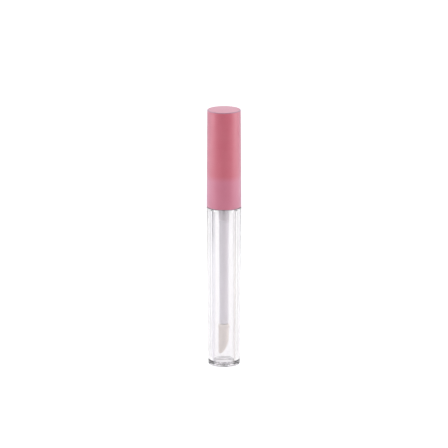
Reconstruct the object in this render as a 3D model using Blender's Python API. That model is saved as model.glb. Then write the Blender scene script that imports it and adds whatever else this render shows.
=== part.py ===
"""A lip gloss tube: a clear thick-walled bottle on a welded base, a wiper in its neck, and a screw
cap that carries the applicator wand. Metres, +Z up, with the origin at the foot's centre."""

import math

import bmesh
import bpy

MM = 0.001

# Driving dimensions, in millimetres.
HEIGHT = 120.0  # foot to cap top, with the cap screwed down
CAP_LENGTH = 45.4
CAP_GAP = 0.3  # open line between the cap's mouth and the bottle's shoulder
TUBE_R = 8.0  # at the shoulder and at the cap's mouth, where the tube is widest
CAP_TOP_R = 7.7
SHOULDER_EDGE = 0.2
BOTTLE_LOW_R = 7.35  # the bottle tapers down to this
SEAM_R = 6.95  # the groove where the base is welded to the bottle
FOOT_R = 7.25
FOOT_HEIGHT = 1.45
FOOT_EDGE = 0.9  # rounding of the foot's lower edge
BASE_TOP_Z = 3.3  # top of the base's spigot, which is the chamber's floor
DISH_DEPTH = 0.15
RECESS_R = 3.2  # a round recess in the middle of the foot
RECESS_DEPTH = 1.9
CAVITY_TOP_R = 4.9  # the chamber tapers with the wall
CAVITY_LOW_R = 4.7
NECK_LENGTH = 11.9
NECK_R = 5.3
NECK_BORE_R = 4.3
ROD_R = 2.25
ROD_TIP_R = 2.1
TIP_TOP_Z = 19.6
TIP_LENGTH = 14.4
TIP_COLLAR_R = 2.72
TIP_LEFT = 2.62  # from the axis to the tip's straight side
TIP_RIGHT = 2.3  # from the axis to its other side, above the slant

# The screw thread: right-handed, one start.
THREAD_PITCH = 2.5
THREAD_TURNS = 1.5
THREAD_DEPTH = 0.6
THREAD_PLAY = 0.15  # from each crest to the wall that it runs along
THREAD_START_Z = 78.5
RIDGE_HALF_ROOT = 0.6
RIDGE_HALF_CREST = 0.35
RIDGE_SINK = 0.3  # how deep a ridge's root lies in its wall
RIDGE_FADE_TURNS = 0.12

FIT = 0.05  # clearance between neighbours that touch
SEGMENTS = 48
THIN_SEGMENTS = 32
SHARP_EDGE_DEG = 35

# Heights and radii that follow from the driving dimensions.
BOTTLE_Z = FOOT_HEIGHT + FIT
CAP_Z = HEIGHT - CAP_LENGTH
SHOULDER_Z = CAP_Z - CAP_GAP
NECK_RIM_Z = SHOULDER_Z + NECK_LENGTH
BORE_R = NECK_R + THREAD_DEPTH + THREAD_PLAY

WIPER_FLANGE = 0.75
WIPER_Z = NECK_RIM_Z + FIT
WASHER_THICKNESS = 0.8
WASHER_Z = WIPER_Z + WIPER_FLANGE + FIT
WEB_Z = WASHER_Z + WASHER_THICKNESS + FIT  # underside of the inner cap's ceiling
WEB_THICKNESS = 1.2
LINER_Z = CAP_Z + 0.5  # the inner cap's lower rim, set back inside the outer cap
LINER_R = 6.8
SOCKET_R = 3.5
SOCKET_DEPTH = 9.1
ROD_Z = TIP_TOP_Z + 2 * FIT

PINK = (0.62, 0.16, 0.24, 1.0)
CLEAR = (0.95, 0.96, 0.97, 1.0)
MILKY = (0.86, 0.86, 0.88, 1.0)
WHITE = (0.88, 0.88, 0.88, 1.0)
FROSTED = (0.78, 0.75, 0.78, 1.0)
FLOCK = (0.84, 0.79, 0.77, 1.0)
WASHER_GREY = (0.80, 0.80, 0.82, 1.0)


def clear_scene():
    for obj in list(bpy.data.objects):
        bpy.data.objects.remove(obj, do_unlink=True)


def plastic(name, colour, roughness, transmission=0.0):
    """A plain plastic, clear where transmission is above 0."""
    material = bpy.data.materials.new(name)
    material.use_nodes = True
    shader = material.node_tree.nodes["Principled BSDF"]
    shader.inputs["Base Color"].default_value = colour
    shader.inputs["Roughness"].default_value = roughness
    shader.inputs["Metallic"].default_value = 0.0
    shader.inputs["Transmission Weight"].default_value = transmission
    material.diffuse_color = colour
    return material


def arc(centre_r, centre_z, radius, start_deg, end_deg, steps=4):
    """Points of a round edge in an outline. 0 degrees points away from the axis, and 90 points up."""
    points = []
    for i in range(steps + 1):
        angle = math.radians(start_deg + (end_deg - start_deg) * i / steps)
        points.append((centre_r + radius * math.cos(angle), centre_z + radius * math.sin(angle)))
    return points


def add_object(name, mesh, material, seat_z):
    """Finishes a bmesh in millimetres as an object that sits at a height on the tube's axis."""
    bmesh.ops.scale(mesh, vec=(MM, MM, MM), verts=mesh.verts)
    bmesh.ops.recalc_face_normals(mesh, faces=mesh.faces)
    data = bpy.data.meshes.new(name)
    mesh.to_mesh(data)
    mesh.free()
    data.shade_smooth()
    data.set_sharp_from_angle(angle=math.radians(SHARP_EDGE_DEG))
    data.materials.append(material)
    obj = bpy.data.objects.new(name, data)
    obj.location.z = seat_z * MM
    bpy.context.scene.collection.objects.link(obj)
    return obj


def lathe(name, outline, material, seat_z, segments=SEGMENTS):
    """Turns an outline of (radius, height) about the axis. One that starts on the axis ends on it
    too, and any other is a closed loop."""
    mesh = bmesh.new()
    points = [mesh.verts.new((radius, 0.0, height)) for radius, height in outline]
    for first, second in zip(points, points[1:]):
        mesh.edges.new((first, second))
    if outline[0][0] > 0:
        mesh.edges.new((points[-1], points[0]))
    bmesh.ops.spin(
        mesh, geom=mesh.verts[:] + mesh.edges[:], cent=(0, 0, 0), axis=(0, 0, 1),
        angle=math.tau, steps=segments, use_merge=True,
    )
    bmesh.ops.remove_doubles(mesh, verts=mesh.verts, dist=1e-4)
    return add_object(name, mesh, material, seat_z)


def loft(name, rings, material, seat_z):
    """Skins a row of point rings of equal length, and closes the first and the last."""
    mesh = bmesh.new()
    rows = [[mesh.verts.new(point) for point in ring] for ring in rings]
    for low, high in zip(rows, rows[1:]):
        for i in range(len(low)):
            j = (i + 1) % len(low)
            mesh.faces.new((low[i], low[j], high[j], high[i]))
    mesh.faces.new(rows[0])
    mesh.faces.new(rows[-1])
    return add_object(name, mesh, material, seat_z)


def thread_section(turn, wall_r, crest_r, start_z):
    """The four corners of a thread ridge at one place along its helix, faded into the wall at its ends."""
    outwards = math.copysign(1.0, crest_r - wall_r)
    root = wall_r - outwards * RIDGE_SINK
    buried = wall_r - outwards * RIDGE_SINK / 2
    fade = min(1.0, turn / RIDGE_FADE_TURNS, (THREAD_TURNS - turn) / RIDGE_FADE_TURNS)
    crest = buried + (crest_r - buried) * fade
    angle = math.tau * turn
    middle = start_z + THREAD_PITCH * turn
    corners = (
        (root, -RIDGE_HALF_ROOT), (crest, -RIDGE_HALF_CREST),
        (crest, RIDGE_HALF_CREST), (root, RIDGE_HALF_ROOT),
    )
    return [(r * math.cos(angle), r * math.sin(angle), middle + dz) for r, dz in corners]


def add_thread(owner, wall_r, crest_r, start_z):
    """Grows a helical ridge on the owner's wall, out to a crest radius or in to one."""
    steps = round(THREAD_TURNS * SEGMENTS)
    sections = [
        thread_section(THREAD_TURNS * i / steps, wall_r, crest_r, start_z) for i in range(steps + 1)
    ]
    ridge = loft(owner.name + "_thread", sections, owner.data.materials[0], 0.0)
    ridge.location = owner.location
    ridge.hide_render = True
    ridge.display_type = "WIRE"
    union = owner.modifiers.new("Thread", "BOOLEAN")
    union.operation = "UNION"
    union.solver = "EXACT"
    union.object = ridge
    return ridge


def make_bottle():
    """The clear body: thick walls, a neck with the outer thread, and an open bottom for its core."""
    shoulder = SHOULDER_Z - BOTTLE_Z
    rim = NECK_RIM_Z - BOTTLE_Z
    outline = [
        *arc(NECK_R - 0.25, rim - 0.25, 0.25, 90, 0, 2),
        (NECK_R, shoulder),
        *arc(TUBE_R - SHOULDER_EDGE, shoulder - SHOULDER_EDGE, SHOULDER_EDGE, 90, 0),
        (BOTTLE_LOW_R, 0.3),
        (SEAM_R, 0.0),
        (CAVITY_LOW_R, 0.0),
        (CAVITY_TOP_R, shoulder - 1.6),
        (CAVITY_TOP_R - 0.15, shoulder - 0.9),
        (NECK_BORE_R, shoulder + 0.9),
        (NECK_BORE_R, rim - 0.2),
        (NECK_BORE_R + 0.2, rim),
    ]
    bottle = lathe("bottle", outline, plastic("clear_shell", CLEAR, 0.03, 1.0), BOTTLE_Z)
    add_thread(bottle, NECK_R, NECK_R + THREAD_DEPTH, THREAD_START_Z - BOTTLE_Z)
    return bottle


def make_base_plug():
    """The welded base: a foot with a rolled edge, a dish and a recess under it, and a spigot that fills
    the bottle's open end and carries a thin ring."""
    spigot_r = CAVITY_LOW_R - 2 * FIT
    floor = BASE_TOP_Z - 0.12
    ring_r = 3.8
    outline = [
        (0.0, floor),
        (ring_r - 0.15, floor),
        (ring_r, BASE_TOP_Z),
        (ring_r + 0.15, floor),
        (spigot_r - 0.15, floor),
        (spigot_r, floor - 0.15),
        (spigot_r, FOOT_HEIGHT),
        (SEAM_R, FOOT_HEIGHT),
        (FOOT_R, FOOT_HEIGHT - 0.3),
        *arc(FOOT_R - FOOT_EDGE, FOOT_EDGE, FOOT_EDGE, 0, -90),
        (6.0, 0.0),
        (5.8, DISH_DEPTH),
        (RECESS_R + 0.15, DISH_DEPTH),
        (RECESS_R, RECESS_DEPTH),
        (0.0, RECESS_DEPTH),
    ]
    return lathe("base_plug", outline, plastic("clear_base", CLEAR, 0.04, 1.0), 0.0)


def make_wiper():
    """The soft insert: a flange on the neck's rim, a sleeve down the bore, and a nose that narrows to a lip."""
    sleeve_r = NECK_BORE_R - FIT
    nose_r = ROD_R + 0.3
    hole_r = ROD_R + 0.08
    lip = -18.1
    outline = [
        (NECK_R - 0.1, WIPER_FLANGE),
        (NECK_R - 0.1, 0.0),
        (sleeve_r, 0.0),
        (sleeve_r, -9.4),
        (sleeve_r - 0.35, -10.4),
        (nose_r + 0.1, -12.6),
        (nose_r, -13.4),
        (nose_r - 0.04, lip),
        (hole_r, lip),
        (hole_r, -12.8),
        (3.3, -10.6),
        (3.5, -9.4),
        (3.6, WIPER_FLANGE - 0.3),
        (3.9, WIPER_FLANGE),
    ]
    return lathe("wiper", outline, plastic("soft_insert", MILKY, 0.35, 0.6), WIPER_Z)


def make_seal_washer():
    """The gasket that the cap presses on the wiper's flange."""
    outline = [
        (BORE_R - 0.3, WASHER_THICKNESS),
        (BORE_R - 0.3, 0.0),
        (ROD_R + 0.15, 0.0),
        (ROD_R + 0.15, WASHER_THICKNESS),
    ]
    return lathe("seal_washer", outline, plastic("gasket", WASHER_GREY, 0.6), WASHER_Z)


def make_inner_cap():
    """The threaded liner: a skirt round the neck, a ceiling over the washer, and a blind socket for the rod."""
    ceiling = WEB_Z - LINER_Z
    deck = ceiling + WEB_THICKNESS
    socket_top = ceiling + SOCKET_DEPTH
    tower_top = socket_top + 1.0
    outline = [
        (0.0, tower_top),
        (SOCKET_R - 0.4, tower_top),
        (SOCKET_R, tower_top - 0.4),
        (SOCKET_R, deck + 0.4),
        (SOCKET_R + 0.4, deck),
        (LINER_R - 0.3, deck),
        (LINER_R, deck - 0.3),
        (LINER_R, 0.0),
        (BORE_R + 0.25, 0.0),
        (BORE_R, 0.5),
        (BORE_R, ceiling),
        (ROD_R + 0.07, ceiling),
        (ROD_R + 0.07, socket_top),
        (0.0, socket_top),
    ]
    liner = lathe("inner_cap", outline, plastic("white_liner", WHITE, 0.3), LINER_Z)
    start = THREAD_START_Z - THREAD_PITCH / 2 - LINER_Z
    add_thread(liner, BORE_R, BORE_R - THREAD_DEPTH, start)
    return liner


def make_outer_cap():
    """The coloured shell: a straight-sided cup, with a ledge inside that the liner stops against."""
    ledge = WEB_Z + WEB_THICKNESS + 0.1 - CAP_Z
    outline = [
        (0.0, CAP_LENGTH),
        *arc(CAP_TOP_R - 0.45, CAP_LENGTH - 0.45, 0.45, 90, 0),
        (TUBE_R, 0.15),
        (TUBE_R - 0.15, 0.0),
        (LINER_R + 0.25, 0.0),
        (LINER_R + 0.1, 0.3),
        (LINER_R + 0.1, ledge),
        (LINER_R - 0.25, ledge),
        (LINER_R - 0.4, CAP_LENGTH - 1.9),
        (LINER_R - 0.9, CAP_LENGTH - 1.4),
        (0.0, CAP_LENGTH - 1.4),
    ]
    return lathe("outer_cap", outline, plastic("pink_shell", PINK, 0.45), CAP_Z)


def make_wand_rod():
    """The wand: pressed into the liner's socket, slightly tapered, with a thin spigot that holds the tip."""
    top = WEB_Z + SOCKET_DEPTH - FIT - ROD_Z
    outline = [
        (0.0, top),
        (ROD_R - 0.3, top),
        (ROD_R, top - 0.3),
        (ROD_R, WEB_Z - ROD_Z - 3.0),
        (ROD_TIP_R, 0.15),
        (ROD_TIP_R - 0.15, 0.0),
        (1.3, 0.0),
        (1.3, -4.6),
        (1.0, -4.9),
        (0.0, -4.9),
    ]
    return lathe("wand_rod", outline, plastic("frosted_rod", FROSTED, 0.4, 0.3), ROD_Z, THIN_SEGMENTS)


def tip_ring(depth):
    """An oval section of the applicator, so many millimetres below its top. The left side is straight,
    the right side slants in ever faster, and the end rounds off."""
    share = depth / TIP_LENGTH
    slant_from = 0.4
    round_from = 0.92
    slant = max(0.0, (share - slant_from) / (1 - slant_from))
    over = max(0.0, (share - round_from) / (1 - round_from))
    closing = math.sqrt(max(0.0, 1 - over**2))
    left = -TIP_LEFT
    right = TIP_RIGHT - 2.9 * slant**2.2
    middle = (left + right) / 2
    half_x = (right - left) / 2 * closing
    half_y = TIP_LEFT * (1 - 0.4 * share**3) * closing
    return oval(middle, half_x, half_y, -depth)


def oval(middle, half_x, half_y, height):
    """Points of an ellipse round a middle that lies on the X axis."""
    angles = [math.tau * i / THIN_SEGMENTS for i in range(THIN_SEGMENTS)]
    return [(middle + half_x * math.cos(a), half_y * math.sin(a), height) for a in angles]


def make_applicator_tip():
    """The flocked doe-foot tip: a collar, an oval body, and a blind hole that the rod's spigot fills."""
    hole_r = 1.38
    collar = 1.9
    body = collar + 0.25
    depths = [body + (0.92 * TIP_LENGTH - body) * i / 10 for i in range(11)]
    depths += [TIP_LENGTH * (0.92 + 0.08 * math.sin(math.radians(a))) for a in (25, 45, 62, 76)]
    rings = [
        oval(0.0, hole_r, hole_r, -5.2),
        oval(0.0, hole_r, hole_r, 0.0),
        oval(0.0, TIP_COLLAR_R - 0.3, TIP_COLLAR_R - 0.3, 0.0),
        oval(0.0, TIP_COLLAR_R, TIP_COLLAR_R, -0.3),
        oval(0.0, TIP_COLLAR_R, TIP_COLLAR_R, -collar),
        *[tip_ring(depth) for depth in depths],
    ]
    return loft("applicator_tip", rings, plastic("flocked_tip", FLOCK, 0.9), TIP_TOP_Z)


def parent_to_axis(name, height, pieces):
    """An empty on the tube's axis that carries the pieces which move together."""
    axis = bpy.data.objects.new(name, None)
    axis.empty_display_size = 10 * MM
    axis.location.z = height * MM
    bpy.context.scene.collection.objects.link(axis)
    for piece in pieces:
        piece.parent = axis
        piece.location.z -= height * MM


def main():
    clear_scene()
    make_bottle()
    make_base_plug()
    wiper = make_wiper()
    washer = make_seal_washer()
    liner = make_inner_cap()
    liner_thread = bpy.data.objects["inner_cap_thread"]
    wand = [make_outer_cap(), make_wand_rod(), make_applicator_tip()]
    parent_to_axis("wiper_axis", NECK_RIM_Z, [wiper])
    parent_to_axis("washer_axis", WEB_Z, [washer])
    parent_to_axis("cap_axis", CAP_Z, [liner, liner_thread, *wand])


main()
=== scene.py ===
# %% [markdown]
# # A lip gloss tube
# This notebook dresses a finished mechanical model of a lip gloss tube. The model already says where every
# piece sits and how it moves. What is left is what the eye judges: fine round surfaces in place of coarse
# ones, and plastics that behave like plastic. Everything below works in millimetres and turns them into
# Blender's metres at the last moment, because a tube this small reads badly as 0.0023 of something.

# %% Load the model
import math
import random

import bmesh
import bpy
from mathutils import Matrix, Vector


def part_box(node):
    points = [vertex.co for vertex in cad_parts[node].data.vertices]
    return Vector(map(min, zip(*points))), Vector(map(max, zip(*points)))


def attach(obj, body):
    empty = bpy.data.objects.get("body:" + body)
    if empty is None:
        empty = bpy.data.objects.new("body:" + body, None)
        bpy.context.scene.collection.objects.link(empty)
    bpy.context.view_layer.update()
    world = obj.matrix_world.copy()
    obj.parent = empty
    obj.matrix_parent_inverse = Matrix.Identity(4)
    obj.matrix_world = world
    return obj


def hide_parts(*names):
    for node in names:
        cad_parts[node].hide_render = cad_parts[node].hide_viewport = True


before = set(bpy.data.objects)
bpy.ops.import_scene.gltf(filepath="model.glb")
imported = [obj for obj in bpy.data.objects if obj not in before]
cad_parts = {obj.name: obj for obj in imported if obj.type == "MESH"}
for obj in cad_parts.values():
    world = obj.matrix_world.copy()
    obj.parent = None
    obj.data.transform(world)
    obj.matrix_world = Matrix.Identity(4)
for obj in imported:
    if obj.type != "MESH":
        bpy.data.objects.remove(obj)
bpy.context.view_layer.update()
MM = 0.001

# %% [markdown]
# ## Measures that every piece shares
# A tube is a stack of round pieces on one axis, so almost everything can be told by two numbers: how far
# from the axis, and how high. The outer sizes are read from the model's own boxes, so that this file can
# never disagree with them. Only what a box can't show, such as a bore, is written out here.


# %% Sizes
def reach(node):
    """A node's outer radius, its foot and its top, in millimetres."""
    low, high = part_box(node)
    return high.x / MM, low.z / MM, high.z / MM


TUBE_R, _, NECK_RIM = reach("bottle")
FOOT_R, _, BASE_HIGH = reach("base_plug")
_, CAP_MOUTH, CAP_TOP = reach("outer_cap")
LINER_R, LINER_RIM, LINER_TOP = reach("inner_cap")
WASHER_R, WASHER_LOW, WASHER_HIGH = reach("seal_washer")
FLANGE_R, WIPER_LIP, FLANGE_TOP = reach("wiper")
ROD_R, ROD_END, ROD_TOP = reach("wand_rod")
TIP_R, TIP_END, TIP_TOP = reach("applicator_tip")

MOUTH_GAP = 0.12
FIT = 0.05  # the gap that stands for a press fit or a weld
SHOULDER = CAP_MOUTH - MOUTH_GAP
CAP_TOP_R = 7.7
BOTTLE_LOW_R = 7.35
SEAM_R = 6.95
SEAM = 1.5
CAVITY_LOW_R = 4.7
CAVITY_TOP_R = 4.9
NECK_R = 5.3
NECK_BORE_R = 4.3
LINER_BORE_R = 6.05
CEILING = WASHER_HIGH + FIT
SOCKET_R = 3.5
ROD_LOW_R = 2.1
print(f"tube {2 * TUBE_R:.1f} x {CAP_TOP:.1f} mm, cap {CAP_TOP - CAP_MOUTH:.1f} mm long")

# %% [markdown]
# ## Outlines with rounded corners
# No moulded edge is truly sharp, and it is the thin bright line along a rounded edge that tells the eye
# where a surface ends. A Bevel modifier could round the finished mesh, but it would need the right edges
# picked out on every piece. Rounding the outline before it is turned is simpler: each corner says its own
# radius, and a short curve takes its place.


# %% Rounded outline
CORNER_STEPS = 6


def rounded(corners):
    """Outline points from corners of (distance from the axis, height, rounding). An outline that starts
    on the axis ends on it, and any other is a closed loop."""
    on_axis = corners[0][0] == 0
    points = []
    for i, (radius, height, rounding) in enumerate(corners):
        here = Vector((radius, height))
        if rounding == 0 or (on_axis and i in (0, len(corners) - 1)):
            points.append(here)
            continue
        back = Vector(corners[i - 1][:2]) - here
        ahead = Vector(corners[(i + 1) % len(corners)][:2]) - here
        cut = rounding / math.tan(back.angle(ahead) / 2)
        start = here + back.normalized() * min(cut, 0.49 * back.length)
        end = here + ahead.normalized() * min(cut, 0.49 * ahead.length)
        for step in range(CORNER_STEPS + 1):
            t = step / CORNER_STEPS
            points.append((1 - t) ** 2 * start + 2 * t * (1 - t) * here + t**2 * end)
    return points


def evenly(start, end, steps):
    """Numbers from start to end in equal steps, both ends included."""
    return [start + (end - start) * i / steps for i in range(steps + 1)]


print("a square corner becomes", CORNER_STEPS + 1, "points")

# %% [markdown]
# ## Turning an outline into a solid
# A lathe spins an outline round an axis. Blender's Screw modifier does the same, but a screw thread is not
# quite round: its wall moves in and out with the angle. So the spin is done here, and each point may be
# nudged by a small function of its angle and height before it becomes a vertex.


# %% Lathe
SEGMENTS = 160
SHARP_DEG = 50


def as_piece(name, mesh, node, body, finish):
    """Makes an object of a mesh in millimetres. It stands for a node and moves with a body."""
    bmesh.ops.scale(mesh, vec=(MM, MM, MM), verts=mesh.verts)
    bmesh.ops.recalc_face_normals(mesh, faces=mesh.faces)
    data = bpy.data.meshes.new(name)
    mesh.to_mesh(data)
    mesh.free()
    data.shade_smooth()
    data.set_sharp_from_angle(angle=math.radians(SHARP_DEG))
    data.materials.append(finish)
    piece = bpy.data.objects.new(name, data)
    bpy.context.scene.collection.objects.link(piece)
    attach(piece, body)
    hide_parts(node)
    print(f"{name}: {len(data.polygons)} faces, rides on {body}")
    return piece


def turned(outline, segments=SEGMENTS, nudge=None):
    """Spins an outline round the axis. nudge(radius, height, angle) gives a point's radius there."""
    mesh = bmesh.new()
    rows = []
    for radius, height in outline:
        if radius == 0:
            rows.append([mesh.verts.new((0, 0, height))] * segments)
            continue
        row = []
        for i in range(segments):
            angle = math.tau * i / segments
            r = nudge(radius, height, angle) if nudge else radius
            row.append(mesh.verts.new((r * math.cos(angle), r * math.sin(angle), height)))
        rows.append(row)
    if outline[0][0] > 0:
        rows.append(rows[0])
    for upper, lower in zip(rows, rows[1:]):
        for i in range(segments):
            corners = (upper[i - 1], upper[i], lower[i], lower[i - 1])
            mesh.faces.new(dict.fromkeys(corners))
    return mesh


print("a turned piece has", SEGMENTS, "sides")

# %% [markdown]
# ## Sums with shader nodes
# A material's pattern is arithmetic: so much noise, times a mask, plus a base. Wiring Math nodes by hand
# hides that arithmetic, so a small class lets Python's own signs write it. Each sum on a Wire adds one Math
# node. Colours go through Mix nodes instead, because a Math node would turn them grey.


# %% Wires
class Wire:
    """An output of a shader node that Python's signs can do sums with."""

    def __init__(self, tree, socket):
        self.tree = tree
        self.socket = socket

    def node(self, kind, settings=None, sockets=None, output=0):
        """Adds any node: its settings first, then the values or wires of its sockets."""
        made = self.tree.nodes.new(kind)
        for name, value in (settings or {}).items():
            setattr(made, name, value)
        for name, value in (sockets or {}).items():
            if isinstance(value, Wire):
                self.tree.links.new(value.socket, made.inputs[name])
            else:
                made.inputs[name].default_value = value
        return Wire(self.tree, made.outputs[output])

    def maths(self, operation, first, second):
        return self.node("ShaderNodeMath", {"operation": operation}, {0: first, 1: second})

    def __add__(self, other):
        return self.maths("ADD", self, other)

    def __radd__(self, other):
        return self.maths("ADD", other, self)

    def __sub__(self, other):
        return self.maths("SUBTRACT", self, other)

    def __rsub__(self, other):
        return self.maths("SUBTRACT", other, self)

    def __mul__(self, other):
        return self.maths("MULTIPLY", self, other)

    def __rmul__(self, other):
        return self.maths("MULTIPLY", other, self)


def blended(amount, first, second):
    """A colour that goes from first to second as amount goes from 0 to 1."""
    settings = {"data_type": "RGBA"}
    return amount.node("ShaderNodeMix", settings, {"Factor": amount, 6: first, 7: second}, output=2)


def ramp(value, low, high):
    """0 below low, 1 above high, and a smooth change between."""
    settings = {"interpolation_type": "SMOOTHSTEP"}
    return value.node("ShaderNodeMapRange", settings, {"Value": value, "From Min": low, "From Max": high})


print("wires can be added, subtracted and multiplied")

# %% [markdown]
# ## The start of every finish
# Every material here begins alike: a Principled shader with its fixed numbers set on its own sockets, and
# the piece's own coordinates in millimetres. Noise comes by its grain size, since "a 0.4 mm grain" can be
# held against a real moulding and "scale 2500" can't.


# %% Finish helpers
def new_finish(name, fixed):
    """A material with a Principled shader, its fixed values, and a wire to the piece's coordinates."""
    material = bpy.data.materials.new(name)
    material.use_nodes = True
    shader = material.node_tree.nodes["Principled BSDF"]
    for socket, value in fixed.items():
        shader.inputs[socket].default_value = value
    start = Wire(material.node_tree, None)
    place = start.node("ShaderNodeTexCoord", output=3)
    millimetres = {"operation": "SCALE"}
    place = place.node("ShaderNodeVectorMath", millimetres, {0: place, "Scale": 1 / MM})
    return material, shader, place


def noise(place, grain, detail=3.0, stretch=1.0):
    """Noise from 0 to 1 whose blotches are about one grain wide, and longer up the axis if stretched."""
    size = (1 / grain, 1 / grain, 1 / (grain * stretch))
    scaled = place.node("ShaderNodeVectorMath", {"operation": "MULTIPLY"}, {0: place, 1: size})
    return place.node("ShaderNodeTexNoise", None, {"Vector": scaled, "Scale": 1.0, "Detail": detail})


def height_of(place):
    return place.node("ShaderNodeSeparateXYZ", None, {0: place}, output=2)


def feed(shader, socket, wire):
    wire.tree.links.new(wire.socket, shader.inputs[socket])


def bumped(shader, wire, depth, strength=1.0):
    """Lets a pattern of so many millimetres' depth tilt the surface."""
    sockets = {"Strength": strength, "Distance": depth * MM, "Height": wire}
    feed(shader, "Normal", wire.node("ShaderNodeBump", None, sockets))


def lets_light_in(material, shader, place, share):
    """Lamps shine straight through a piece, dimmed to that share, where they would cast its shadow."""
    straight = place.node("ShaderNodeBsdfTransparent", None, {"Color": (*share, 1)})
    shadow_ray = place.node("ShaderNodeLightPath", output=1)
    solid = Wire(place.tree, shader.outputs[0])
    both = place.node("ShaderNodeMixShader", None, {0: shadow_ray, 1: solid, 2: straight})
    feed(material.node_tree.nodes["Material Output"], "Surface", both)


print("grains are in millimetres")

# %% [markdown]
# ## Finish: the pink shell
# The cap is moulded from a pigmented plastic with a satin skin. The wall lets a little light through, so
# it looks paler where the white liner stands behind it and deeper where it is hollow. The change is drawn
# from the height alone, over the four millimetres that the wall blurs it. Sheen gives the flanks their
# bloom, but it would wash out the flat top, so the top and the rim round it carry a painted shade: colours
# deeper than the plastic's own. A satin skin also has a very fine grain, a faint slow ripple from the flow
# of the melt, and smoother patches where it was handled.


# %% Pink shell
def pink_shell():
    fixed = {
        "Metallic": 0.0, "IOR": 1.75, "Specular IOR Level": 0.5,
        "Sheen Weight": 0.6, "Sheen Roughness": 0.7, "Sheen Tint": (0.7, 0.87, 1.0, 1),
    }
    material, shader, place = new_finish("satin_pink_plastic", fixed)
    deep = (0.555, 0.025, 0.068, 1)
    pale = (0.56, 0.082, 0.16, 1)
    # Painted shade: the top colour below is deeper than the plastic, to undo the sheen on the flat top.
    top = (0.58, 0.016, 0.06, 1)
    # Painted shade: the rim colour below draws a thin darker line round the top's edge.
    painted_rim_shade = (0.36, 0.09, 0.15, 1)
    height = height_of(place)
    colour = blended(ramp(height, CEILING - 1.2, CEILING + 2.8), pale, deep)
    # Painted shade: the flat top takes the deeper top colour.
    colour = blended(ramp(height, CAP_TOP - 0.35, CAP_TOP - 0.15), colour, top)
    # Painted shade: a thin ring along the rim round the top takes the darker rim colour.
    flat = place.node("ShaderNodeVectorMath", {"operation": "MULTIPLY"}, {0: place, 1: (1, 1, 0)})
    radius = place.node("ShaderNodeVectorMath", {"operation": "LENGTH"}, {0: flat}, output=1)
    painted_rim_mask = ramp(radius, CAP_TOP_R - 0.55, CAP_TOP_R - 0.3) * ramp(height, CAP_TOP - 0.5, CAP_TOP - 0.3)
    colour = blended(painted_rim_mask, colour, painted_rim_shade)
    clouds = noise(place, 5.0, 2.0) * 0.06 + noise(place, 0.25) * 0.05
    colour = blended(clouds, colour, (0.9, 0.5, 0.56, 1))
    feed(shader, "Base Color", colour)
    handled = ramp(noise(place, 7.0, 4.0), 0.5, 0.75)
    feed(shader, "Roughness", 0.42 + noise(place, 0.3) * 0.06 - handled * 0.05)
    ripple = noise(place, 3.0, 1.0, stretch=3.0) * 0.7 + noise(place, 0.09, 2.0) * 0.3
    bumped(shader, ripple, 0.012)
    lets_light_in(material, shader, place, (0.5, 0.35, 0.42))
    return material


PINK = pink_shell()
print(PINK.name)

# %% [markdown]
# ## Finish: clear moulded plastic
# The bottle's wall is about 3 mm thick, so it bends light like a lens, and only real refraction looks right.
# Two things make it more than glass from a preset. The walls carry a faint waviness from moulding, drawn
# out along the tube. And because a shadow ray can't bend, a plain refracting wall would leave the wand in
# the dark, so shadow rays meet a Transparent shader and pass straight on.


# %% Clear plastic
def clear_plastic(name, tint, ripple_depth):
    fixed = {"Base Color": tint, "Metallic": 0.0, "IOR": 1.57, "Transmission Weight": 1.0}
    material, shader, place = new_finish(name, fixed)
    smears = ramp(noise(place, 6.0, 5.0, stretch=2.0), 0.55, 0.8)
    feed(shader, "Roughness", smears * 0.02)
    flow = noise(place, 2.5, 1.0, stretch=6.0)
    bumped(shader, flow, ripple_depth)
    lets_light_in(material, shader, place, (0.985, 0.985, 0.99))
    return material


CLEAR_SHELL = clear_plastic("clear_wall_plastic", (0.987, 0.977, 0.982, 1), 0.001)
CLEAR_BASE = clear_plastic("clear_foot_plastic", (0.975, 0.968, 0.976, 1), 0.003)
print(CLEAR_SHELL.name, CLEAR_BASE.name)

# %% [markdown]
# ## Finish: the plastics inside
# The liner is plain white polypropylene, the wand the same material without pigment, which looks frosted,
# and the wiper is a soft milky polyethylene. They differ in how much light passes through them and in the
# mark that their moulds leave: the wand has a fine grain drawn along its length.


# %% Liner, wand, wiper
def moulded(name, colour, fleck, roughness, milky, through, grain, depth, stretch=1.0):
    """A pale moulded plastic: slightly uneven colour, a grain, light that spreads inside it, and a share of
    lamp light that gets through."""
    fixed = {
        "Metallic": 0.0, "IOR": 1.5,
        "Subsurface Weight": milky, "Subsurface Radius": (1.0, 1.0, 1.0), "Subsurface Scale": 2.0 * MM,
    }
    material, shader, place = new_finish(name, fixed)
    clouds = noise(place, 4.0, 3.0) * 0.5 + noise(place, 0.3) * 0.5
    feed(shader, "Base Color", blended(clouds, colour, fleck))
    feed(shader, "Roughness", roughness + noise(place, 0.6) * 0.08)
    bumped(shader, noise(place, grain, 3.0, stretch), depth)
    if through:
        lets_light_in(material, shader, place, (through, through, through))
    return material


WHITE = moulded(
    "white_liner_plastic", (0.86, 0.86, 0.87, 1), (0.92, 0.92, 0.92, 1),
    roughness=0.34, milky=0.0, through=0.6, grain=0.3, depth=0.01,
)
FROSTED = moulded(
    "frosted_wand_plastic", (0.7, 0.67, 0.7, 1), (0.76, 0.73, 0.76, 1),
    roughness=0.42, milky=0.7, through=0.0, grain=0.12, depth=0.012, stretch=5.0,
)
MILKY = moulded(
    "milky_wiper_plastic", (0.9, 0.84, 0.88, 1), (0.93, 0.87, 0.91, 1),
    roughness=0.3, milky=0.5, through=0.8, grain=0.5, depth=0.01,
)
print(WHITE.name, FROSTED.name, MILKY.name)

# %% [markdown]
# ## Finish: gasket and flock
# The gasket is a disc of closed-cell foam, so its skin shows small round cells: Voronoi cells, bumped in.
# The flock is thousands of short fibres. The fibres are real geometry further down, so their material only
# has to be soft, warm and slightly uneven, with the sheen that any pile has along its edges.


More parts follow.
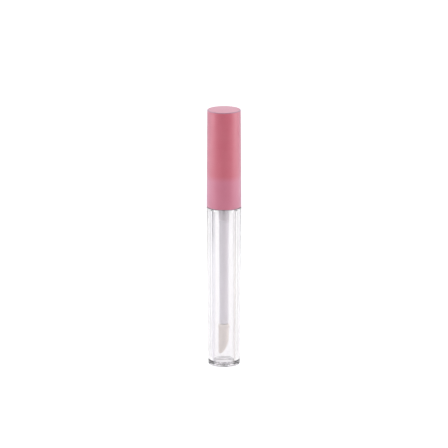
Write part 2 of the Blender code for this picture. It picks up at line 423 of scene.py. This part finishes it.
# %% Gasket and flock
def gasket():
    material, shader, place = new_finish("gasket_foam", {"Metallic": 0.0, "IOR": 1.45})
    cells = place.node("ShaderNodeTexVoronoi", None, {"Vector": place, "Scale": 4.0})
    feed(shader, "Base Color", blended(cells, (0.78, 0.78, 0.81, 1), (0.9, 0.9, 0.92, 1)))
    feed(shader, "Roughness", 0.6 + noise(place, 0.5) * 0.15)
    bumped(shader, cells, 0.05)
    return material


def flocked():
    fixed = {"Metallic": 0.0, "Sheen Weight": 0.35, "Sheen Roughness": 0.5, "IOR": 1.4}
    material, shader, place = new_finish("cream_flock", fixed)
    tufts = noise(place, 0.5, 4.0)
    feed(shader, "Base Color", blended(tufts, (0.82, 0.76, 0.72, 1), (0.93, 0.88, 0.85, 1)))
    feed(shader, "Roughness", 0.85 + noise(place, 0.8) * 0.12)
    bumped(shader, noise(place, 0.12, 4.0), 0.04)
    return material


GASKET = gasket()
FLOCK = flocked()
print(GASKET.name, FLOCK.name)

# %% [markdown]
# ## The screw thread
# A neck thread is a ridge that climbs one pitch for each turn. At any angle it is enough to ask how far a
# height is from the nearest coil: inside half the ridge's width the wall stands out, and beyond it the wall
# stays put. At both ends the ridge sinks into the wall over part of a turn, as a mould leaves it. The liner's
# thread is the same ridge half a pitch lower, growing inwards.


# %% Thread
PITCH = 2.5
TURNS = 1.5
THREAD_START = 78.5
THREAD_DEPTH = 0.6
CREST_HALF = 0.3
ROOT_HALF = 0.56
FADE_TURNS = 0.14


def smooth(t):
    t = min(1.0, max(0.0, t))
    return t * t * (3 - 2 * t)


def thread_on(wall, depth, start):
    """A nudge that raises a ridge on the wall of that radius, outwards, or inwards if depth is negative."""

    def nudge(radius, height, angle):
        if abs(radius - wall) > 1e-6:
            return radius
        best = 0.0
        for lap in range(math.ceil(TURNS)):
            turn = lap + angle / math.tau
            off = abs(height - start - PITCH * turn)
            ridge = smooth((ROOT_HALF - off) / (ROOT_HALF - CREST_HALF))
            fade = smooth(min(turn, TURNS - turn) / FADE_TURNS)
            best = max(best, ridge * fade)
        return radius + depth * best

    return nudge


print(f"thread: {TURNS} turns, {PITCH} mm a turn, lifts the cap {TURNS * PITCH} mm")

# %% [markdown]
# ## The bottle
# One thick-walled moulding. Its outside tapers a little towards the foot, its shoulder is flat so that the
# cap nearly meets it, and its core was drawn out downwards, which is why the foot is a separate piece. The
# chamber's upper end narrows to the neck in a soft cone. The neck's wall gets many close points, because
# the thread has to be drawn on it.


# %% Bottle
def bottle_outline():
    thread_zone = [(NECK_R, z, 0) for z in evenly(NECK_RIM - 1.2, SHOULDER + 1.2, 92)]
    return rounded([
        (NECK_R, NECK_RIM, 0.25),
        *thread_zone,
        (NECK_R, SHOULDER, 0.3),
        (TUBE_R, SHOULDER, 0.15),
        (BOTTLE_LOW_R, SEAM + 0.3, 0.15),
        (SEAM_R, SEAM, 0.05),
        (CAVITY_LOW_R, SEAM, 0.05),
        (CAVITY_TOP_R, SHOULDER - 1.4, 1.2),
        (NECK_BORE_R, SHOULDER + 0.9, 1.0),
        (NECK_BORE_R, NECK_RIM, 0.2),
    ])


as_piece(
    "bottle_body",
    turned(bottle_outline(), nudge=thread_on(NECK_R, THREAD_DEPTH, THREAD_START)),
    "bottle", "bottle", CLEAR_SHELL,
)

# %% [markdown]
# ## The base
# The bottle is open at its foot, and a clear base is welded to it: a flange with a rolled edge, and a
# spigot that fills the opening. The spigot's upper face carries two thin rings. Underneath is a shallow
# dish, with a recess in its middle. The recess is a guess: its zigzag wall is there for the small zigzag
# of light that it throws into the clear foot.


# %% Base
ROLLED_EDGE = 0.9
STANDING_R = 6.0
DISH_R = 5.8
DISH_DEPTH = 0.15
RING_RADII = (2.35, 3.8)
RING_HALF = 0.15
RING_HEIGHT = 0.12
STAR_DEPTH = 1.9
STAR_R = 3.2
STAR_FLARE = 0.2
STAR_SWING = 0.6
STAR_POINTS = 12


def base_outline():
    face = BASE_HIGH - RING_HEIGHT
    spigot = CAVITY_LOW_R - 2 * FIT
    weld = SEAM - FIT
    rings = []
    for middle in RING_RADII:
        rings.append((middle - RING_HALF, face, 0.1))
        rings.append((middle, BASE_HIGH, 0.1))
        rings.append((middle + RING_HALF, face, 0.1))
    return rounded([
        (0, face, 0),
        *rings,
        (spigot, face, 0.15),
        (spigot, weld, 0.05),
        (SEAM_R, weld, 0.05),
        (FOOT_R, SEAM - 0.35, 0.15),
        (FOOT_R, 0, ROLLED_EDGE),
        (STANDING_R, 0, 0.1),
        (DISH_R, DISH_DEPTH, 0.1),
        (STAR_R + STAR_FLARE, DISH_DEPTH, 0.03),
        (STAR_R, STAR_DEPTH, 0.03),
        (0, STAR_DEPTH, 0),
    ])


def star(radius, height, angle):
    """Gives the recess under the foot a zigzag wall."""
    if abs(radius - STAR_R - STAR_FLARE / 2) > 0.15 or height > STAR_DEPTH + 0.05:
        return radius
    zigzag = 4 * abs(angle * STAR_POINTS / math.tau % 1.0 - 0.5) - 1
    return radius + STAR_SWING * zigzag


as_piece("base_disc", turned(base_outline(), 168, star), "base_plug", "bottle", CLEAR_BASE)

# %% [markdown]
# ## The wiper and the gasket
# The wiper is a soft insert pushed into the neck: a flange that rests on the rim, a sleeve, and a nose that
# tapers until it nearly touches the wand. The gasket above it is a flat ring.


# %% Wiper and gasket
def wiper_outline():
    under_flange = NECK_RIM + FIT
    sleeve = NECK_BORE_R - FIT
    nose = ROD_R + 0.2
    hole = ROD_R + 0.08
    funnel_top = SHOULDER + 2.7
    funnel_foot = SHOULDER - 0.4
    return rounded([
        (FLANGE_R, FLANGE_TOP, 0.15),
        (FLANGE_R, under_flange, 0.1),
        (sleeve, under_flange, 0.05),
        (sleeve, funnel_top, 0.3),
        (sleeve - 0.35, funnel_top - 1.0, 0.8),
        (nose, funnel_foot - 0.5, 1.0),
        (nose - 0.04, WIPER_LIP, 0.1),
        (hole, WIPER_LIP, 0.06),
        (hole, funnel_foot, 0.5),
        (sleeve - 0.95, funnel_top - 1.2, 0.8),
        (sleeve - 0.75, funnel_top, 0.4),
        (sleeve - 0.65, FLANGE_TOP - 0.3, 0.1),
        (sleeve - 0.35, FLANGE_TOP, 0.1),
    ])


def gasket_outline():
    hole = 2.4
    return rounded([
        (WASHER_R, WASHER_HIGH, 0.15),
        (WASHER_R, WASHER_LOW, 0.15),
        (hole, WASHER_LOW, 0.1),
        (hole, WASHER_HIGH, 0.1),
    ])


as_piece("wiper_insert", turned(wiper_outline(), 120), "wiper", "wiper", MILKY)
as_piece("gasket_ring", turned(gasket_outline(), 120), "seal_washer", "washer", GASKET)

# %% [markdown]
# ## The cap: a shell and its liner
# The shell is a plain cup with a crisp but not sharp upper edge. The liner carries everything that works:
# the inner thread, the ceiling that presses the gasket, and the socket for the wand. Shallow ribs round the
# liner's skirt bite into the shell, so that turning one turns both.


# %% Shell and liner
RIB_COUNT = 40
RIB_HEIGHT = 0.06


def shell_outline():
    inner = LINER_R + 2 * FIT
    ledge = CEILING + 1.3
    return rounded([
        (0, CAP_TOP, 0),
        (CAP_TOP_R, CAP_TOP, 0.42),
        (TUBE_R, CAP_MOUTH + 0.18, 0.1),
        (TUBE_R - 0.18, CAP_MOUTH, 0.1),
        (inner + 0.15, CAP_MOUTH, 0.1),
        (inner, CAP_MOUTH + 0.3, 0.1),
        (inner, ledge, 0.05),
        (inner - 0.35, ledge, 0.05),
        (inner - 0.5, CAP_TOP - 1.6, 0.5),
        (0, CAP_TOP - 1.4, 0),
    ])


def liner_outline():
    deck = CEILING + 1.2
    socket_r = ROD_R + 0.07
    socket_top = ROD_TOP + FIT
    thread_zone = [(LINER_BORE_R, z, 0) for z in evenly(LINER_RIM + 0.9, CEILING - 3.0, 94)]
    return rounded([
        (0, LINER_TOP, 0),
        (SOCKET_R, LINER_TOP, 0.4),
        (SOCKET_R, deck, 0.5),
        (LINER_R, deck, 0.3),
        (LINER_R, LINER_RIM, 0.1),
        (LINER_BORE_R + 0.25, LINER_RIM, 0.1),
        (LINER_BORE_R, LINER_RIM + 0.5, 0.2),
        *thread_zone,
        (LINER_BORE_R, CEILING, 0.3),
        (socket_r, CEILING, 0.1),
        (socket_r, socket_top, 0.1),
        (0, socket_top, 0),
    ])


def liner_nudge(radius, height, angle):
    """The liner's thread inside, and shallow ribs round its skirt outside."""
    if abs(radius - LINER_R) < 1e-6 and height < CEILING:
        return radius + RIB_HEIGHT * max(0.0, math.cos(RIB_COUNT * angle))
    return liner_thread(radius, height, angle)


liner_thread = thread_on(LINER_BORE_R, -THREAD_DEPTH, THREAD_START - PITCH / 2)
as_piece("cap_shell", turned(shell_outline()), "outer_cap", "cap", PINK)
as_piece("cap_liner", turned(liner_outline(), nudge=liner_nudge), "inner_cap", "cap", WHITE)

# %% [markdown]
# ## The wand
# A slim rod with a very slight taper, pressed into the liner at its top. Its mould left two hair-thin lines
# down its sides. They are drawn by the same nudge that draws the thread, as a narrow hump round one angle.


# %% Wand
LINE_HEIGHT = 0.03
LINE_HALF_WIDTH = 0.07


def rod_outline():
    collar = CEILING - 3.0
    return rounded([
        (0, ROD_TOP, 0),
        (ROD_R, ROD_TOP, 0.3),
        (ROD_R, collar, 0.2),
        (ROD_LOW_R, TIP_TOP + 0.1, 0.15),
        (1.3, TIP_TOP + 0.1, 0.05),
        (1.3, ROD_END, 0.3),
        (0, ROD_END, 0),
    ])


def mould_lines(radius, height, angle):
    if radius < ROD_LOW_R - 0.2 or height > CEILING - 3.5 or height < TIP_TOP + 0.4:
        return radius
    across = radius * math.sin(angle - math.radians(25))
    return radius + LINE_HEIGHT * math.exp(-((across / LINE_HALF_WIDTH) ** 2))


as_piece("wand_stem", turned(rod_outline(), nudge=mould_lines), "wand_rod", "cap", FROSTED)

# %% [markdown]
# ## The applicator tip
# A doe-foot: straight down one side, slanted down the other, with a rounded end. A sculpted blob would do,
# but a rule keeps it clean: every level is an oval whose left edge stays put while its right edge runs in
# faster and faster. The fibres stand on this core, so the core is slightly slimmer than the finished tip.


# %% Tip core
PILE = 0.26
TIP_LENGTH = TIP_TOP - TIP_END
TIP_LEFT = 2.62
TIP_RIGHT = 2.3
COLLAR = 1.9
SLANT_FROM = 0.4
ROUND_FROM = 0.92
SLANT_RUN = 2.9
SLANT_POWER = 2.2
THINNING = 0.4
TIP_SIDES = 72


def tip_oval(share):
    """The middle and the two half widths of the tip's core, at a share of the way to its end."""
    slant = max(0.0, (share - SLANT_FROM) / (1 - SLANT_FROM))
    over = max(0.0, (share - ROUND_FROM) / (1 - ROUND_FROM))
    closing = math.sqrt(max(0.0, 1 - over**2))
    left = -TIP_LEFT
    right = TIP_RIGHT - SLANT_RUN * slant**SLANT_POWER
    collar = 1 - smooth((share * TIP_LENGTH - COLLAR + 0.15) / 0.3)
    left -= (TIP_R - TIP_LEFT) * collar
    right += (TIP_R - TIP_RIGHT) * collar
    half_x = (right - left) / 2 * closing - PILE
    half_y = TIP_LEFT * (1 - THINNING * share**3) * closing - PILE
    return (left + right) / 2, max(half_x, 0.05), max(half_y, 0.05)


def tip_point(share, angle):
    """A point of the core's skin, in millimetres. The shoulder is rounded in from the oval."""
    middle, half_x, half_y = tip_oval(share)
    shoulder = 1 - 0.14 * (1 - smooth(share / 0.025))
    x = middle + half_x * shoulder * math.cos(angle)
    y = half_y * shoulder * math.sin(angle)
    return Vector((x, y, TIP_TOP - PILE - share * (TIP_LENGTH - 2 * PILE)))


def skinned(rings):
    """Joins rings of points into one closed skin."""
    mesh = bmesh.new()
    rows = [[mesh.verts.new(point) for point in ring] for ring in rings]
    for upper, lower in zip(rows, rows[1:]):
        for i in range(len(upper)):
            mesh.faces.new((upper[i - 1], upper[i], lower[i], lower[i - 1]))
    mesh.faces.new(rows[0])
    mesh.faces.new(rows[-1])
    return mesh


def ring(radius, height):
    angles = [math.tau * i / TIP_SIDES for i in range(TIP_SIDES)]
    return [Vector((radius * math.cos(a), radius * math.sin(a), height)) for a in angles]


def tip_rings():
    hole_r = 1.38
    hole_depth = 5.2
    shares = [0.03 * smooth(i / 6) for i in range(6)]
    shares += evenly(0.03, 0.2, 24) + evenly(0.22, ROUND_FROM, 24)
    shares += [ROUND_FROM + (1 - ROUND_FROM) * math.sin(math.radians(a)) for a in range(12, 85, 12)]
    rings = [ring(hole_r, TIP_TOP - hole_depth), ring(hole_r, TIP_TOP - PILE)]
    for share in shares:
        rings.append([tip_point(share, math.tau * i / TIP_SIDES) for i in range(TIP_SIDES)])
    return rings


as_piece("tip_core", skinned(tip_rings()), "applicator_tip", "cap", FLOCK)

# %% [markdown]
# ## The flock
# Flock is cut fibre, shot onto glue by an electric field so that it stands on end. Hair particles could
# grow it, but they render as curves and are lost in an exported mesh. So each fibre is a thin closed spike
# here. Golden-angle steps spread the roots evenly with no clumps, and a seeded random tilt keeps the pile
# from looking combed.


# %% Flock fibres
FIBRES = 9000
FIBRE_R = 0.028
ROOT_DEPTH = 0.05
LEAN = 0.35
DROOP = Vector((0, 0, -0.15))
GOLDEN = math.pi * (3 - math.sqrt(5))


def skin_normal(share, angle):
    """The outward direction of the core's skin, from two short steps along it."""
    step = 0.004
    along = tip_point(min(share + step, 1), angle) - tip_point(max(share - step, 0), angle)
    across = tip_point(share, angle + step) - tip_point(share, angle - step)
    return across.cross(along).normalized() * -1


def flock_fibres():
    chance = random.Random(5)
    mesh = bmesh.new()
    for i in range(FIBRES):
        share = 0.003 + 0.993 * (i + 0.5) / FIBRES
        angle = i * GOLDEN
        root = tip_point(share, angle)
        outward = skin_normal(share, angle)
        lean = Vector([chance.uniform(-LEAN, LEAN) for _ in range(3)]) + DROOP
        length = PILE * chance.uniform(0.75, 1.0)
        point = root + (outward + lean).normalized() * length
        side = outward.orthogonal().normalized() * FIBRE_R
        across = outward.cross(side)
        foot = []
        for corner in range(3):
            turn = math.tau * corner / 3
            offset = side * math.cos(turn) + across * math.sin(turn)
            foot.append(mesh.verts.new(root - outward * ROOT_DEPTH + offset))
        end = mesh.verts.new(point)
        mesh.faces.new(foot)
        for corner in range(3):
            mesh.faces.new((foot[corner], foot[corner - 1], end))
    return mesh


as_piece("tip_flock", flock_fibres(), "applicator_tip", "cap", FLOCK)

# %% [markdown]
# ## The floor
# A clear object shows its surroundings more than itself, so the set matters as much as the lamps. The
# floor is a pale sheet that runs to the horizon, painted a little darker round the tube as a painted shadow.
# A sheet bright enough to look white would flood the tube's walls, so a little emission lifts it that only
# the camera's own rays see.


# %% Floor
FLOOR_LIFT = 0.35
FAR_LIFT = 0.5  # the lamps leave the far floor dimmer


def floor_finish():
    """A pale sheet, darker round the tube as a painted shadow. What the camera sees of it directly is lifted
    to white, and what the tube's walls bend or mirror is the sheet, with that painted shadow, as the lamps
    leave it."""
    fixed = {"Metallic": 0.0, "Specular IOR Level": 0.2, "Emission Strength": 1.0}
    material, shader, place = new_finish("pale_floor", fixed)
    away = place.node("ShaderNodeVectorMath", {"operation": "LENGTH"}, {0: place}, output=1)
    # Painted shadow: the sheet's colour is darker near the tube and paler far from it.
    colour = blended(ramp(away, 20.0, 260.0), (0.83, 0.825, 0.83, 1), (0.92, 0.92, 0.92, 1))
    colour = blended(noise(place, 60.0, 3.0) * 0.2, colour, (0.97, 0.97, 0.97, 1))
    feed(shader, "Base Color", colour)
    feed(shader, "Roughness", 0.8 + noise(place, 9.0) * 0.1)
    seen = place.node("ShaderNodeLightPath", output=0)
    feed(shader, "Emission Color", seen * (ramp(away, 300.0, 2500.0) * FAR_LIFT + FLOOR_LIFT))
    return material


bpy.ops.mesh.primitive_plane_add(size=30.0, location=(0, 0, -0.00002))
floor = bpy.context.object
floor.name = "floor"
floor.data.materials.append(floor_finish())
print("floor is", floor.dimensions.x, "m wide")

# %% [markdown]
# ## The sky
# Behind the tube, as the camera looks, the sky is a bright sheet, and it falls off to a dimmer level at
# the sides and in front. The walls bend light in from those sides, so the fall helps to draw the tube's
# edges. The camera itself sees the sky at one even level, close to the floor's, to hide the horizon.


# %% Sky
def studio_sky(back, sides, seen):
    """A sky with a bright sheet behind the tube, dim sides and front, and its own level for the camera."""
    world = bpy.data.worlds.new("studio")
    world.use_nodes = True
    bpy.context.scene.world = world
    start = Wire(world.node_tree, None)
    direction = start.node("ShaderNodeTexCoord", output=0)
    depth = start.node("ShaderNodeSeparateXYZ", None, {0: direction}, output=1)
    level = ramp(depth, 0.74, 0.88) * (back - sides) + sides
    camera_ray = start.node("ShaderNodeLightPath", output=0)
    level = camera_ray * (seen - level) + level
    tint = start.node("ShaderNodeCombineColor", None, {0: level, 1: level * 0.99, 2: level * 1.01})
    feed(world.node_tree.nodes["Background"], "Color", tint)


studio_sky(back=1.0, sides=0.4, seen=0.97)
print("sky:", bpy.context.scene.world.name)

# %% [markdown]
# ## The lamps
# Two soft lamps stand at the sides and brighten the flanks of the tube, and a wide one overhead lights the
# cap's top and the floor. A weak one in front reaches the wand. It is hidden from glossy rays, so that it
# leaves no bright square on the walls.


# %% Lamps
def soft_lamp(name, place, aim, width, height, brightness, colour):
    """A soft rectangular lamp, as bright to look at as so many times a white sheet."""
    data = bpy.data.lights.new(name, "AREA")
    data.shape = "RECTANGLE"
    data.size = width
    data.size_y = height
    data.energy = brightness * math.pi * width * height
    data.color = colour
    lamp = bpy.data.objects.new(name, data)
    lamp.location = place
    lamp.rotation_euler = (Vector(aim) - Vector(place)).to_track_quat("-Z", "Y").to_euler()
    lamp.visible_camera = False
    bpy.context.scene.collection.objects.link(lamp)
    return lamp


TUBE_MIDDLE = (0, 0, 0.06)
soft_lamp("left_lamp", (-0.42, -0.05, 0.2), TUBE_MIDDLE, 0.25, 0.35, 3.5, (0.93, 0.96, 1.0))
soft_lamp("right_lamp", (0.42, -0.05, 0.2), TUBE_MIDDLE, 0.25, 0.35, 3.5, (0.97, 0.975, 0.99))
soft_lamp("top_lamp", (0.0, 0.15, 1.0), TUBE_MIDDLE, 0.9, 0.9, 2.3, (1.0, 1.0, 1.0))
front_lamp = soft_lamp("front_lamp", (0.0, -1.2, 0.15), TUBE_MIDDLE, 0.6, 0.6, 0.9, (1.0, 0.99, 0.99))
front_lamp.visible_glossy = False

# %% [markdown]
# ## The grey cards
# A clear wall in front of a white sheet has no edge to see, so cards are stood beside it for the edge to
# pick up. There are four narrow ones, two beside the tube and two behind. They are hidden from the camera
# and cast neither light nor shadow, so only reflections and refractions show them.


# %% Cards
CARD_HEIGHT = 0.075


def grey_card(name, x, y, width, low, high):
    """An upright card that only the tube's reflections and refractions see. Its colour goes from low
    towards high as it rises."""
    bpy.ops.mesh.primitive_plane_add(size=1.0, location=(x, y, CARD_HEIGHT / 2))
    card = bpy.context.object
    card.name = name
    card.scale = (width, CARD_HEIGHT, 1)
    card.rotation_euler = (math.radians(90), 0, math.radians(90))
    fixed = {"Base Color": (0, 0, 0, 1), "Specular IOR Level": 0.0, "Emission Strength": 1.0}
    material, shader, place = new_finish(name, fixed)
    rise = place.node("ShaderNodeSeparateXYZ", None, {0: place}, output=1) * MM
    feed(shader, "Emission Color", blended(ramp(rise, 0.05, 0.45), (*low, 1), (*high, 1)))
    card.data.materials.append(material)
    card.visible_camera = False
    card.visible_diffuse = False
    card.visible_shadow = False
    print(name, "made")


grey_card("left_card", -0.02, 0.0, 0.016, (0.83, 0.81, 0.87), (0.42, 0.4, 0.44))
grey_card("right_card", 0.02, 0.0, 0.016, (0.84, 0.81, 0.8), (0.7, 0.68, 0.7))
grey_card("back_left_card", -0.022, 0.028, 0.007, (0.62, 0.6, 0.65), (0.45, 0.43, 0.46))
grey_card("back_right_card", 0.022, 0.028, 0.007, (0.64, 0.62, 0.64), (0.5, 0.48, 0.5))

# %% [markdown]
# ## The camera
# The tube is seen from far away and a little above, so that its sides run parallel and its flat top is a
# slim oval. A long lens does that. Its focal length follows from how much of the world the frame's width
# should cover.

# %% Camera
VIEW_DISTANCE = 2.4
VIEW_ELEVATION = math.radians(13.8)
FRAME_WIDTH = 0.2054
AIM_HEIGHT = 0.0662

camera_data = bpy.data.cameras.new("camera")
camera = bpy.data.objects.new("camera", camera_data)
bpy.context.scene.collection.objects.link(camera)
back = Vector((0, -math.cos(VIEW_ELEVATION), math.sin(VIEW_ELEVATION)))
camera.location = Vector((0, 0, AIM_HEIGHT)) + back * VIEW_DISTANCE
camera.rotation_euler = (-back).to_track_quat("-Z", "Y").to_euler()
camera_data.lens = camera_data.sensor_width * VIEW_DISTANCE / FRAME_WIDTH
camera_data.clip_start = 0.01
camera_data.clip_end = 100
bpy.context.scene.camera = camera
bpy.context.scene.view_settings.view_transform = "Standard"
print(f"lens {camera_data.lens:.0f} mm")
